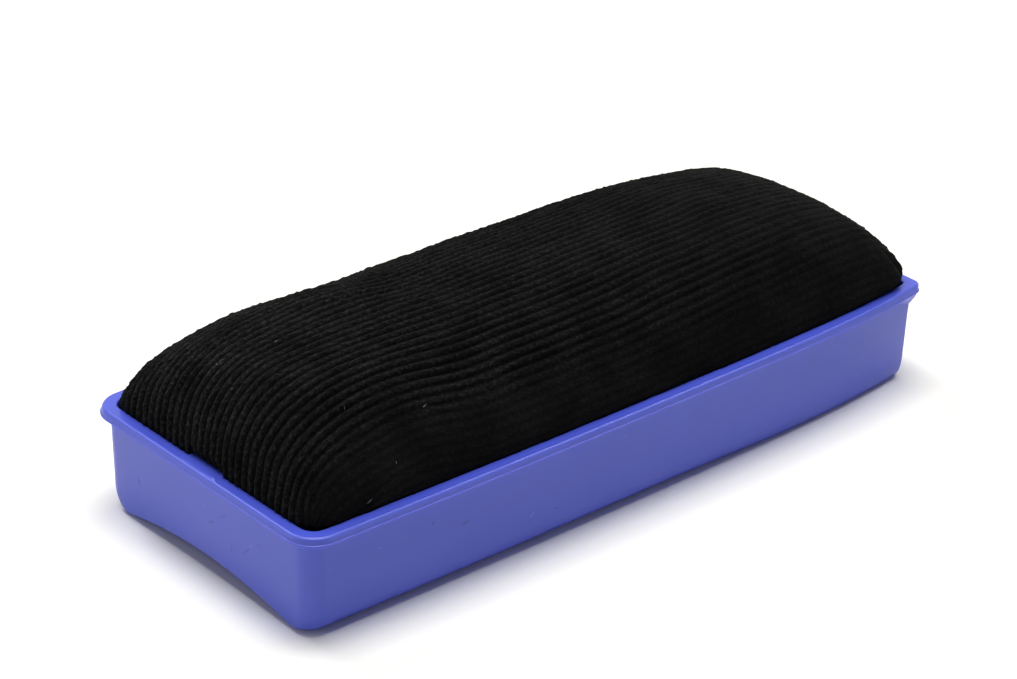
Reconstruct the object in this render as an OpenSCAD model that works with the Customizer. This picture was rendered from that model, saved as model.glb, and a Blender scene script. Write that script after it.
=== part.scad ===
// Whiteboard eraser: a moulded tray, which is the handle, holding a foam pad covered in corduroy.
// The eraser lies on its back. X runs along its length, Y across it, and Z points up through the pad.
// The origin is on the surface that it rests on, under its middle. All sizes are in millimetres.

/* [Case] */
// Length over the rim
case_l = 150; // [110:1:190]
// Width over the rim, at the ends
case_w = 62; // [48:1:80]
// Height from the resting edges to the top of the rim
case_h = 20.6; // [15:0.1:28]
// How far each long side bows outward at its middle
side_bow = 1.0; // [0:0.1:2]
// Thickness of the walls
wall_t = 1.2; // [1:0.1:2]
// Thickness of the floor
floor_t = 1.3; // [1:0.1:2.5]
// Slope of the walls that frees the tray from its mould, in degrees
draft = 1.3; // [0.5:0.1:3]
// Plan radius of the rim's corners
rim_r = 5.3; // [4.5:0.1:9]
// Fillet under each long side
long_fillet = 4.5; // [2.5:0.1:6]
// Fillet under each end
end_fillet = 1.4; // [0.8:0.1:2.5]
// How far the back arches up between its resting edges
back_arch = 2.7; // [0.4:0.1:4]
// Width of the flat strip along each resting edge
rest_land = 1.6; // [1:0.1:3]

/* [Rim] */
// How far the flange stands out from the wall
flange_out = 1.4; // [0.8:0.1:2]
// Height of the flange's outer face
flange_h = 2.1; // [1.4:0.1:4]
// Rounding of the flange's outer edges
flange_round = 0.5; // [0.2:0.1:0.6]
// Rounding of the rim's inner edge
mouth_round = 0.3; // [0.1:0.1:0.5]

/* [Retaining tabs] */
// Width of the tab inside each end
tab_w = 10; // [6:0.5:20]
// How far a tab stands in from the wall
tab_out = 1.1; // [0.6:0.1:1.3]
// Height of a tab, down from the top of the rim
tab_h = 1.8; // [1.2:0.1:3]

/* [Pad] */
// Height of the pad's crown above the rim
crown_h = 18.5; // [10:0.5:26]
// How square the dome is along the length
crown_long = 4.0; // [2.2:0.1:6]
// How square the dome is across the width
crown_wide = 2.4; // [2:0.1:4]
// Thickness of the corduroy
cloth_t = 1.5; // [0.8:0.1:2.5]
// Width of the hem folded under the board
hem_w = 9; // [5:0.5:14]
// Thickness of the backing board
board_t = 1.6; // [1:0.1:3]

/* [Fits] */
// Clearance between the pad and the tray
pad_gap = 0.3; // [0.2:0.05:0.6]
// Clearance between the cloth and what it covers
layer_gap = 0.2; // [0.1:0.05:0.4]

/* [Hidden] */

corner_steps = 6;      // spans round each corner of an outline
long_steps = 8;        // spans along each long side
end_steps = 6;         // spans along each end
fillet_steps = 5;      // rings up a fillet under the case
round_steps = 2;       // rings round a small edge
floor_steps = 5;       // rings from the middle of the floor to its edge
dome_steps = 14;       // rings up the dome
crown_rise = [3.8, 1.65]; // how late the dome turns in, along and across
least_r = 0.8;         // least plan radius of an outline
board_r = 2;           // plan radius of the board's corners
snap = 1e-6;           // two places nearer than this are one

wall_h = case_h - flange_h;            // height of the plain wall under the flange
wall_slope = tan(draft);
mouth_inset = flange_out + wall_t;     // from the flange's outer face to the mouth
floor_z = floor_t + back_arch * lift(floor_t); // highest point of the tray's floor
hem_z = floor_z + pad_gap;             // underside of the pad
board_z = hem_z + cloth_t;             // underside of the board
foam_z = board_z + board_t;            // underside of the foam

// How far the wall's outer face stands in from the flange's outer face, at a height
function wall_inset(z) = flange_out + max(0, wall_h - z) * wall_slope;

// How far a fillet of radius r draws a face in, at a height
function fillet_inset(r, z) = z >= r ? 0 : r - sqrt(r * r - pow(r - z, 2));

// How far the long sides bow out at x, as a share of the bow at their middle
function bowed(x) = 1 - pow(x / (case_l / 2), 2);

// Points round a rounded rectangle of half sizes hx and hy, its long sides bowed outward
function outline(hx, hy, r, bow) =
    let (
        cx = hx - r,
        cy = hy - r,
        middles = [[cx, cy], [-cx, cy], [-cx, -cy], [cx, -cy]],
        steps = [long_steps, end_steps, long_steps, end_steps],
        square_cut = [
            for (i = [0:3])
                let (m = middles[i], next = middles[(i + 1) % 4], out = 90 * (i + 1), n = steps[i])
                each concat(
                    [for (k = [0:corner_steps - 1]) m + r * turn(out - 90 + 90 * k / corner_steps)],
                    [for (k = [0:n - 1]) m + (next - m) * k / n + r * turn(out)]
                )
        ]
    )
    [for (p = square_cut) [p.x, p.y * (1 + bow * bowed(p.x) / hy)]];

function turn(a) = [cos(a), sin(a)];

// The outline of the case, drawn in from the flange's outer face by inset_x and inset_y
function case_outline(inset_x, inset_y, r) =
    outline(case_l / 2 - inset_x, case_w / 2 - inset_y, max(least_r, r), side_bow);

// The arch of the back at a point, as a height above the resting edges
function arch_z(p) =
    let (
        at_ends = case_w / 2 - wall_inset(0) - long_fillet - rest_land,
        edge = at_ends + side_bow * bowed(p.x)
    )
    abs(p.y) > edge - snap ? 0 : back_arch * (1 - pow(p.y / edge, 2));

// How much of the arch is left in the walls at a height: all of it below, none under the flange
function lift(z) = 1 - z / wall_h;

// A level ring, and one that rides up with the arch near the floor
function level(points, z) = [for (p = points) [p.x, p.y, z]];
function arched(points, z) = [for (p = points) [p.x, p.y, z + arch_z(p) * lift(z)]];

// Rings over the arched floor at height z, outward from its middle to half sizes hx and hy
function floor_rings(hx, hy, r, z) = [
    for (k = [1:floor_steps])
        let (s = k / floor_steps)
        arched([for (p = outline(hx, hy, r, side_bow)) s * p], z)
];

function reversed(list) = [for (k = [len(list) - 1:-1:0]) list[k]];

// A ring on a small rounded edge, at angle a of a circle of radius r, whose centre
// lies at height z and stands in from the flange's outer face by inset
function edge_ring(inset, z, r, a) =
    let (out = inset - r * cos(a))
    level(case_outline(out, out, rim_r - out), z + r * sin(a));

// A closed solid through a list of rings, with a point closing each end
module skin(first, rings, last) {
    n = len(rings[0]);
    count = len(rings);
    points = concat([first], [for (ring = rings) each ring], [last]);
    at = function (ring, k) 1 + ring * n + k % n;
    end = count * n + 1;
    polyhedron(points, concat(
        [for (k = [0:n - 1]) [0, at(0, k), at(0, k + 1)]],
        [for (i = [0:count - 2], k = [0:n - 1]) [at(i, k), at(i + 1, k), at(i + 1, k + 1)]],
        [for (i = [0:count - 2], k = [0:n - 1]) [at(i, k), at(i + 1, k + 1), at(i, k + 1)]],
        [for (k = [0:n - 1]) [at(count - 1, k), end, at(count - 1, k + 1)]]
    ));
}

// Outer skin of the tray, from the middle of its back out and up to the flange
function case_outside() =
    let (
        foot = wall_inset(0),
        foot_r = rim_r - foot,
        hx = case_l / 2 - foot - end_fillet,
        hy = case_w / 2 - foot - long_fillet
    )
    concat(
        floor_rings(hx - rest_land, hy - rest_land, foot_r, 0),
        [for (k = [0:fillet_steps])
            let (
                z = long_fillet * (1 - cos(90 * k / fillet_steps)),
                inset = wall_inset(z)
            )
            arched(case_outline(
                inset + fillet_inset(end_fillet, z),
                inset + fillet_inset(long_fillet, z),
                rim_r - inset
            ), z)],
        [level(case_outline(flange_out, flange_out, rim_r - flange_out), wall_h)]
    );

// The flange and the mouth of the tray
function case_rim() = concat(
    [for (k = [0:round_steps]) edge_ring(flange_round, wall_h + flange_round, flange_round,
        -90 + 90 * k / round_steps)],
    [for (k = [0:round_steps]) edge_ring(flange_round, case_h - flange_round, flange_round,
        90 * k / round_steps)],
    [for (k = [0:round_steps]) edge_ring(mouth_inset - mouth_round, case_h - mouth_round, mouth_round,
        90 + 90 * k / round_steps)]
);

// Inner skin of the tray, from the mouth down and in to the middle of the floor
function case_inside() =
    let (
        long_r = long_fillet - wall_t,
        end_r = max(end_fillet - wall_t, 0.4),
        foot = wall_inset(floor_t) + wall_t,
        hx = case_l / 2 - foot - end_r,
        hy = case_w / 2 - foot - long_r
    )
    concat(
        [for (k = [fillet_steps:-1:0])
            let (
                z = long_r * (1 - cos(90 * k / fillet_steps)),
                inset = wall_inset(z + floor_t) + wall_t
            )
            arched(case_outline(
                inset + fillet_inset(end_r, z),
                inset + fillet_inset(long_r, z),
                rim_r - inset
            ), z + floor_t)],
        reversed(floor_rings(hx - rest_land, hy - rest_land, rim_r - foot, floor_t))
    );

// A catch inside one end of the mouth, flush with the rim, with a sloped lead-in.
// grow is the clearance of the pocket that it presses into the pad.
module tab(grow) {
    root = case_l / 2 - mouth_inset - mouth_round;
    tip = case_l / 2 - mouth_inset - tab_out - grow;
    lead = tab_out / 3;
    rotate([90, 0, 0])
        linear_extrude(tab_w + 2 * grow, center = true)
            polygon([
                [root + wall_t, case_h + 3 * grow],
                [tip + lead, case_h + 3 * grow],
                [tip, case_h - lead + 3 * grow],
                [tip, case_h - tab_h - grow],
                [root + wall_t, case_h - tab_h - grow]
            ]);
}

module both_tabs(grow) {
    tab(grow);
    mirror([1, 0, 0]) tab(grow);
}

module case() {
    color([0.34, 0.37, 0.78])
        union() {
            skin([0, 0, back_arch], concat(case_outside(), case_rim(), case_inside()), [0, 0, floor_z]);
            both_tabs(0);
        }
}

// Outline of the pad where it stands in the tray at height z, drawn in by inset
function pad_outline(z, inset) =
    let (in = wall_inset(z) + wall_t + pad_gap + inset)
    case_outline(in, in, rim_r - in);

// Rings up the dome, from the rim to just under the crown, drawn in by inset all round
function dome_rings(inset) =
    let (
        mouth = mouth_inset + pad_gap + inset,
        hx = case_l / 2 - mouth,
        hy = case_w / 2 - mouth,
        r = max(least_r, rim_r - mouth)
    )
    [for (k = [0:dome_steps - 1])
        let (
            h = sin(90 * k / dome_steps),
            a = hx * pow(1 - pow(h, crown_rise.x), 1 / crown_long),
            b = hy * pow(1 - pow(h, crown_rise.y), 1 / crown_wide)
        )
        level(outline(a, b, min(b, r + (b - r) * h), side_bow * (1 - h)), case_h + (crown_h - inset) * h)];

function crown(inset) = [0, 0, case_h + crown_h - inset];

// Outline of the board, or of the hem's edge under it when drawn in by the hem's width
function board_outline(inset) =
    let (in = wall_inset(board_z) + wall_t + pad_gap + cloth_t + layer_gap + inset)
    case_outline(in, in, board_r);

module backing_board() {
    color([0.62, 0.5, 0.36])
        translate([0, 0, board_z])
            linear_extrude(board_t)
                polygon(board_outline(0));
}

module foam_core() {
    inset = cloth_t + layer_gap;
    color([0.86, 0.84, 0.76])
        skin([0, 0, foam_z], concat(
            [level(pad_outline(foam_z, inset), foam_z)],
            dome_rings(inset)
        ), crown(inset));
}

// One sheet: over the dome, down inside the tray, round the board's edge and under it as a hem
module cloth_cover() {
    hem_edge = board_outline(hem_w);
    color([0.05, 0.05, 0.06])
        difference() {
            skin(crown(cloth_t), concat(
                reversed(dome_rings(cloth_t)),
                [level(pad_outline(board_z, cloth_t), board_z)],
                [level(hem_edge, board_z)],
                [level(hem_edge, hem_z)],
                [for (k = [0:round_steps])
                    let (a = 90 * k / round_steps)
                    level(pad_outline(board_z, cloth_t * (1 - sin(a))), board_z - cloth_t * cos(a))],
                dome_rings(0)
            ), crown(0));
            both_tabs(layer_gap);
        }
}

case();
backing_board();
foam_core();
cloth_cover();
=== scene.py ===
import math

import bmesh
import bpy
import numpy as np
from mathutils import Matrix, Vector
from mathutils.bvhtree import BVHTree


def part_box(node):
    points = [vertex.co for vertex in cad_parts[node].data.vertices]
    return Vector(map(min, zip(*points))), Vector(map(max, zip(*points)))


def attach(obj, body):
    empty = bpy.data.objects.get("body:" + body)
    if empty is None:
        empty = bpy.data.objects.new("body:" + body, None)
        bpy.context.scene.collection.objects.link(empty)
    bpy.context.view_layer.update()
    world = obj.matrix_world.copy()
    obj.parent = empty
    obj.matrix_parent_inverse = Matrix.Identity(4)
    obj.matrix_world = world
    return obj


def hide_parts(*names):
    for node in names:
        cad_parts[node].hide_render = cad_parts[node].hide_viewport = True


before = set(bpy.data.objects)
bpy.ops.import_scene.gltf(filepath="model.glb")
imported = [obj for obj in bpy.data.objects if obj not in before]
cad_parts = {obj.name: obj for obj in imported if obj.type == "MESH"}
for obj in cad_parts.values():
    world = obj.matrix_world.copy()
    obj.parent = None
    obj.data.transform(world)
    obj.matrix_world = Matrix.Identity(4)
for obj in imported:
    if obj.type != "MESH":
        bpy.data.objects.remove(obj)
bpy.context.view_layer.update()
mm = 0.001  # lengths below are in millimetres
print("frame loaded")


def linearColour(hexCode):
    # sRGB hex to the linear values that the shaders use
    channels = [int(hexCode[i : i + 2], 16) / 255 for i in (1, 3, 5)]
    return [c / 12.92 if c <= 0.04045 else ((c + 0.055) / 1.055) ** 2.4 for c in channels] + [1.0]


def addNode(tree, kind, inputs=None):
    # a node with its properties and what goes in: plain values, or what other nodes give
    node = tree.nodes.new("ShaderNode" + kind)
    for name, value in (inputs or {}).items():
        if isinstance(name, str) and hasattr(node, name):
            setattr(node, name, value)
        elif isinstance(value, bpy.types.NodeSocket):
            tree.links.new(value, node.inputs[name])
        else:
            node.inputs[name].default_value = value
    return node


def compute(tree, operation, first, second=0.0):
    # arithmetic on values, each a number or what another node gives
    return addNode(tree, "Math", {"operation": operation, 0: first, 1: second}).outputs[0]


def distance(tree, vector):
    # how far a place is from the middle
    return addNode(tree, "VectorMath", {"operation": "LENGTH", 0: vector}).outputs["Value"]


def remap(tree, value, source, target=(0.0, 1.0), shape="LINEAR"):
    # a value moved from one range to another and held inside it
    inputs = {"interpolation_type": shape, "Value": value, "From Min": source[0], "From Max": source[1]}
    inputs.update({"To Min": target[0], "To Max": target[1]})
    return addNode(tree, "MapRange", inputs).outputs[0]


def noise(tree, place, scale, detail, roughness=0.5):
    inputs = {"Vector": place, "Scale": scale, "Detail": detail, "Roughness": roughness}
    return addNode(tree, "TexNoise", inputs).outputs["Fac"]


def colourRamp(tree, value, stops):
    # a value turned into colour, by stops of (place, hex)
    node = addNode(tree, "ValToRGB", {"Fac": value})
    ramp = node.color_ramp
    while len(ramp.elements) > 1:
        ramp.elements.remove(ramp.elements[-1])
    for i, (place, tone) in enumerate(stops):
        stop = ramp.elements[0] if i == 0 else ramp.elements.new(place)
        stop.position = place
        stop.color = linearColour(tone)
    return node.outputs["Color"]


def mixColours(tree, share, first, second):
    # a colour with a share of a second one, given in hex
    inputs = {"data_type": "RGBA", 0: share, 6: first, 7: linearColour(second)}
    return addNode(tree, "Mix", inputs).outputs[2]


def relief(tree, height, strength, depth):
    # bump by a height, its depth in mm
    inputs = {"Strength": strength, "Distance": depth * mm, "Height": height}
    return addNode(tree, "Bump", inputs).outputs["Normal"]


def newMaterial(name):
    material = bpy.data.materials.new(name)
    material.use_nodes = True
    material.node_tree.nodes.clear()
    return material, material.node_tree


def finishMaterial(tree, inputs):
    shader = addNode(tree, "BsdfPrincipled", inputs)
    addNode(tree, "OutputMaterial", {"Surface": shader.outputs[0]})


def streaks(tree, coordinates, marks):
    # 1 inside each of some small oval marks, given as middle, turn and half sizes, in mm and degrees
    mask = 0.0
    for middle, turn, halfSizes in marks:
        inputs = {
            "vector_type": "TEXTURE",
            "Vector": coordinates,
            "Location": Vector(middle) * mm,
            "Rotation": [math.radians(angle) for angle in turn],
            "Scale": Vector(halfSizes) * mm,
        }
        local = addNode(tree, "Mapping", inputs).outputs[0]
        mask = compute(tree, "MAXIMUM", remap(tree, distance(tree, local), (1.0, 0.5)), mask)
    return mask


def meshPiece(name, points, faces, material):
    # a smooth mesh from points in millimetres
    mesh = bpy.data.meshes.new(name)
    corners = [tuple(int(i) for i in face) for face in faces]
    mesh.from_pydata((np.asarray(points) * mm).tolist(), [], corners)
    mesh.polygons.foreach_set("use_smooth", [True] * len(mesh.polygons))
    mesh.materials.append(material)
    mesh.update()
    piece = bpy.data.objects.new(name, mesh)
    bpy.context.collection.objects.link(piece)
    return piece


def outwardFaces(piece):
    # turns every face to look outward
    work = bmesh.new()
    work.from_mesh(piece.data)
    bmesh.ops.recalc_face_normals(work, faces=work.faces)
    work.to_mesh(piece.data)
    work.free()
    piece.data.update()


def smoothStep(low, high, value):
    # 0 at low, 1 at high, either way round
    t = np.clip((value - low) / (high - low), 0, 1)
    return t * t * (3 - 2 * t)


def ringFaces(rings, count):
    # quads between neighbouring rings of count points each
    faces = []
    for low in range(0, (rings - 1) * count, count):
        for k in range(count):
            following = (k + 1) % count
            faces.append((low + k, low + following, low + count + following, low + count + k))
    return faces


def closedSkin(rings, first, last):
    # points and faces of rings joined in order, with a fan from each end ring to a point
    count = len(rings[0])
    points = np.vstack(rings + [first, last])
    faces = ringFaces(len(rings), count)
    top = (len(rings) - 1) * count
    for k in range(count):
        following = (k + 1) % count
        faces.append((len(points) - 2, following, k))
        faces.append((len(points) - 1, top + k, top + following))
    return points, faces


# camera, at a slight roll, with a long lens
viewpoint = {
    "azimuth": -41.73,
    "elevation": 27.69,
    "roll": -1.455,
    "distance": 562.3,
    "aim": (0, 0, 12),
    "offset": (3.50, -7.92),  # aim's place right of and above the middle of the frame
    "lens": 108.1,
    "sensor": 36,
}


def makeCamera():
    # looks at the aim from its azimuth and elevation, rolled a little
    a, e, r = (math.radians(viewpoint[k]) for k in ("azimuth", "elevation", "roll"))
    back = Vector((math.sin(a) * math.cos(e), -math.cos(a) * math.cos(e), math.sin(e)))
    level = Vector((math.cos(a), math.sin(a), 0))
    upright = back.cross(level)
    right = level * math.cos(r) - upright * math.sin(r)
    up = level * math.sin(r) + upright * math.cos(r)
    shiftX, shiftY = viewpoint["offset"]
    place = Vector(viewpoint["aim"]) - right * shiftX - up * shiftY + back * viewpoint["distance"]
    lens = bpy.data.cameras.new("camera")
    lens.lens = viewpoint["lens"]
    lens.sensor_width = viewpoint["sensor"]
    camera = bpy.data.objects.new("camera", lens)
    bpy.context.collection.objects.link(camera)
    axes = Matrix((right, up, back)).transposed().to_4x4()
    camera.matrix_world = Matrix.Translation(place * mm) @ axes
    bpy.context.scene.camera = camera


makeCamera()

# studio: a pale sweep, a large softbox overhead, three smaller ones to the right, behind and to the
# left, and low cards that light the walls
studio = {
    "floorSize": 6000,
    "floorColour": "#F8F6EC",  # a little warm, which keeps the shadow near the tray neutral
    "floorGain": 0.15,  # how much brighter the floor is where a camera or a reflection sees it
    "whiteFrom": (170, 400),  # how far from the middle the sweep turns plain white
    "ambient": 0.08,
    "aim": (0, 0, 15),  # where all the lamps point
    "lamps": [
        # name, place, size, power in watts
        ("softboxOverhead", (0, 0, 900), (560, 560), 6.3),
        ("softboxRight", (531, -40, 726), (180, 180), 1.15),
        ("softboxBack", (-95, 530, 721), (240, 240), 2.4),
        ("softboxLeft", (-636, 0, 636), (400, 400), 0.4),
        ("cardLeft", (-815, 360, 125), (400, 200), 0.9),
        ("cardRight", (891, 0, 125), (400, 200), 0.5),
        ("cardFront", (250, -850, 125), (400, 200), 0.46),
    ],
}


def seenDirectly(tree):
    # 1 for camera, glossy and transmission rays, 0 for diffuse light
    path = addNode(tree, "LightPath")
    shine = compute(
        tree, "MAXIMUM", path.outputs["Is Glossy Ray"], path.outputs["Is Transmission Ray"]
    )
    return compute(tree, "MAXIMUM", path.outputs["Is Camera Ray"], shine)


def mixShaders(tree, share, first, second):
    inputs = {0: share, 1: first.outputs[0], 2: second.outputs[0]}
    return addNode(tree, "MixShader", inputs)


def makeStudio():
    half = studio["floorSize"] / 2
    material, tree = newMaterial("matt white paper sweep")
    paper = addNode(tree, "BsdfDiffuse", {"Color": linearColour(studio["floorColour"])})
    gain = studio["floorGain"]
    glow = addNode(tree, "BsdfDiffuse", {"Color": (gain, gain, gain, 1)})
    both = addNode(tree, "AddShader", {0: paper.outputs[0], 1: glow.outputs[0]})
    seen = mixShaders(tree, seenDirectly(tree), paper, both)
    # away from the eraser and its shadow the sweep is seen as plain white
    away = distance(tree, addNode(tree, "TexCoord").outputs["Object"])
    near, far = studio["whiteFrom"]
    share = compute(tree, "MULTIPLY", remap(tree, away, (near * mm, far * mm)), seenDirectly(tree))
    white = addNode(tree, "Emission", {"Color": (1, 1, 1, 1), "Strength": 1.0})
    sweep = mixShaders(tree, share, seen, white)
    addNode(tree, "OutputMaterial", {"Surface": sweep.outputs[0]})
    corners = [(-half, -half, 0), (half, -half, 0), (half, half, 0), (-half, half, 0)]
    meshPiece("floor", corners, [(0, 1, 2, 3)], material)

    world = bpy.data.worlds.new("studio")
    bpy.context.scene.world = world
    world.use_nodes = True
    tree = world.node_tree
    tree.nodes.clear()
    dim = addNode(tree, "Background", {"Color": (1, 1, 1, 1), "Strength": studio["ambient"]})
    white = addNode(tree, "Background", {"Color": (1, 1, 1, 1), "Strength": 1.0})
    mixed = mixShaders(tree, seenDirectly(tree), dim, white)
    addNode(tree, "OutputWorld", {"Surface": mixed.outputs[0]})

    for name, place, size, power in studio["lamps"]:
        light = bpy.data.lights.new(name, "AREA")
        light.shape = "RECTANGLE"
        light.size, light.size_y = size[0] * mm, size[1] * mm
        light.energy = power
        lamp = bpy.data.objects.new(name, light)
        lamp.location = Vector(place) * mm
        lamp.rotation_mode = "QUATERNION"
        lamp.rotation_quaternion = (Vector(studio["aim"]) - Vector(place)).to_track_quat("-Z", "Y")
        bpy.context.collection.objects.link(lamp)

    bpy.context.scene.view_settings.view_transform = "Standard"


makeStudio()
print("camera and studio ready")


# injection-moulded tray, the handle
tray = {
    "sideBow": 1.0,  # the long sides bow out by this much in the middle
    "wall": 1.2,
    "floor": 1.3,
    "draft": 1.3,  # degrees
    "rimRadius": 5.3,  # of the corners, in plan
    "longFillet": 4.5,  # round foot of the long sides
    "endFillet": 1.4,
    "backArch": 2.7,
    "restLand": 1.6,  # width of the two flats that the back stands on
    "flangeOut": 1.4,
    "flangeHeight": 1.52,
    "flangeSlope": 1.35,  # drop of the sloping underside, from the flange's foot in to the wall
    "flangeSwell": 0.45,  # how far the flange's foot stands out past its top edge
    "footRound": 0.12,
    # outer face of the flange, upward: tilt from and to in degrees, length along the profile
    "rimProfile": [
        (78, 36, 0.1),  # a bead along the foot
        (36, 27, 0.16),
        (27, 80, 0.1),
        (88, 81, 0.5),  # the face
        (81, 60, 0.35),
        (60, 36, 0.16),
        (36, 27, 0.3),  # the bevel that shines
        (27, 0, 0.12),
    ],
    "mouthRound": 0.3,
    # the right end is sharper and a little narrower than the left
    "rightCorners": 0.3,  # its corner radius as a share of the left's
    "rightFrom": 30,  # where it starts to narrow
    "rightNarrow": 2.3,  # how far its corners draw in across
    "rightLean": 0.25,  # how far its flange stands in
    "rightFoot": 0.55,  # share by which the long sides' round foot is tighter there
    "rightSides": (15, 8),  # and how near the long sides that sets in
    "cornerSpan": (5, 1.5),  # how near both walls its corners' own changes set in
    "cornerFrom": 13,  # height where they start
    "cornerSlope": 1.6,  # how much lower the flange's underside runs on its corners
    "cornerLean": 0.4,  # how far the flange's foot draws in on its corners
    # tabs that hold the pad, at the middle of each end
    "tabWidth": 10,
    "tabOut": 1.1,
    "tabHeight": 1.8,
    "tabStand": 0.09,  # how far they stand over the rim
    "tabFrom": 2.05,  # depth of the rim before a tab's own edge
    "tabEdge": 0.55,  # over this depth its edge comes out in full
    "tabSide": 0.12,  # and over this width at its sides, both ways
    "gateRadius": 2.4,  # recess left round the sprue, under the back
    "gateDepth": 0.35,
    "stubHeight": 0.28,  # what is left of the sprue
    "nickPlace": (-74.1, -4.3),  # a small burr on the rim
    "nickSize": (0.7, 0.28, 0.16),  # length, width, height
    "cornerSteps": 14,
    "longSteps": 44,
}

trayLow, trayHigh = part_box("case")
halfLength = trayHigh.x / mm
halfWidth = trayHigh.y / mm - tray["sideBow"]  # at the ends
rimTop = trayHigh.z / mm
wallTop = rimTop - tray["flangeHeight"]
slopeFoot = wallTop - tray["flangeSlope"]
mouthInset = tray["flangeOut"] + tray["wall"]


def wallInset(z):
    # the drafted wall's depth in from the flange
    return tray["flangeOut"] + max(0, wallTop - z) * math.tan(math.radians(tray["draft"]))


def filletInset(radius, z):
    # how far a round foot draws in at a height
    return 0 if z >= radius else radius - math.sqrt(radius**2 - (radius - z) ** 2)


def bowAt(x):
    # how far the long sides stand out at a place along the tray
    return tray["sideBow"] * (1 - (x / halfLength) ** 2)


# places across an end that carry the tab's sharp sides and the burr
tabStations = [6.2, 5.7, 5.35, 5.15, 5.05, 4.95, 4.85, 4.7, 4.5, 4.3, 4.1, 3.8, 3.2, 2.2, 1.1]
tabStations = np.array([-y for y in tabStations] + [0] + tabStations[::-1])


def trayOutline(insetX, insetY, radius):
    # rounded rectangle with bowed long sides, from the right end round to the left and back
    reachX, reachY = halfLength - insetX, halfWidth - insetY
    radii = {1: max(0.6, radius * tray["rightCorners"]), -1: max(0.6, radius)}
    arc = np.radians(np.linspace(0, 90, tray["cornerSteps"] + 1))
    along = np.linspace(reachX - radii[1], radii[-1] - reachX, tray["longSteps"] + 1)[1:-1]
    points = []
    for turn, (signX, signY) in enumerate([(1, 1), (-1, 1), (-1, -1), (1, -1)]):
        r = radii[signX]
        angles = arc + turn * math.pi / 2
        centre = ((reachX - r) * signX, (reachY - r) * signY)
        points += [(centre[0] + r * math.cos(a), centre[1] + r * math.sin(a)) for a in angles]
        if turn % 2 == 0:
            points += [(x, reachY * signY) for x in (along if turn == 0 else along[::-1])]
        else:
            outer = np.linspace(tabStations[-1], reachY - r, 7)[1:-1]
            stations = np.concatenate([-outer[::-1], tabStations, outer])
            points += [(reachX * signX, y * signX) for y in stations]
    points = np.array(points)
    points[:, 1] *= 1 + bowAt(points[:, 0]) / reachY
    return points


def archHeight(points):
    # height of the arched back above the two edges that it rests on
    flat = halfWidth - wallInset(0) - tray["longFillet"] - tray["restLand"]
    edge = flat + bowAt(points[:, 0])
    return tray["backArch"] * np.clip(1 - (points[:, 1] / edge) ** 2, 0, 1)


def trayRing(points, z, arched=False):
    lift = archHeight(points) * (1 - z / wallTop) if arched else 0
    return np.column_stack([points, np.full(len(points), float(z)) + lift])


def backRings(outer, z, below):
    # rings from a small circle out to the edge of the floor
    angle = np.arctan2(outer[:, 1] / outer[:, 1].max(), outer[:, 0] / outer[:, 0].max())
    circle = np.column_stack([np.cos(angle), np.sin(angle)])
    gate, rings = tray["gateRadius"], []
    radii = [0.3, 0.55, 0.8, 0.95, 1.05]  # over the stub of the sprue
    radii += [gate * share for share in (0.55, 0.8, 0.92, 1, 1.08, 1.4)]  # over the recess round it
    for r in radii:
        ring = trayRing(circle * r, z, True)
        if below:  # a shallow recess with the stub of the sprue standing in it
            ring[:, 2] += tray["gateDepth"] * (1 - smoothStep(gate * 0.86, gate * 1.04, r))
            ring[:, 2] -= tray["stubHeight"] * (1 - smoothStep(0.75, 1.0, r))
        rings.append(ring)
    for t in np.linspace(0, 1, 25)[1:]:
        rings.append(trayRing(circle * radii[-1] * (1 - t) + outer * t, z, True))
    return rings


def edgeRings(inset, z, radius, angles):
    # rings round a small edge, its centre standing in from the flange's outer face
    rings = []
    for a in np.radians(angles):
        out = inset - radius * math.cos(a)
        outline = trayOutline(out, out, tray["rimRadius"] - out)
        rings.append(trayRing(outline, z + radius * math.sin(a)))
    return rings


def rimProfile():
    # places (inward, up) over the flange's outer face: a bead, a leaning face, then a soft bevel
    places, inward, up = [(0, 0)], 0, 0
    for start, stop, length in tray["rimProfile"]:
        for tilt in np.radians(np.linspace(start, stop, 11)[1::2]):
            inward += length / 5 * math.cos(tilt)
            up += length / 5 * math.sin(tilt)
            places.append((inward, up))
    return places


def wallRing(inset, z, endInset=0.0, longInset=0.0, arched=False):
    outline = trayOutline(inset + endInset, inset + longInset, tray["rimRadius"] - inset)
    return trayRing(outline, z, arched)


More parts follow.
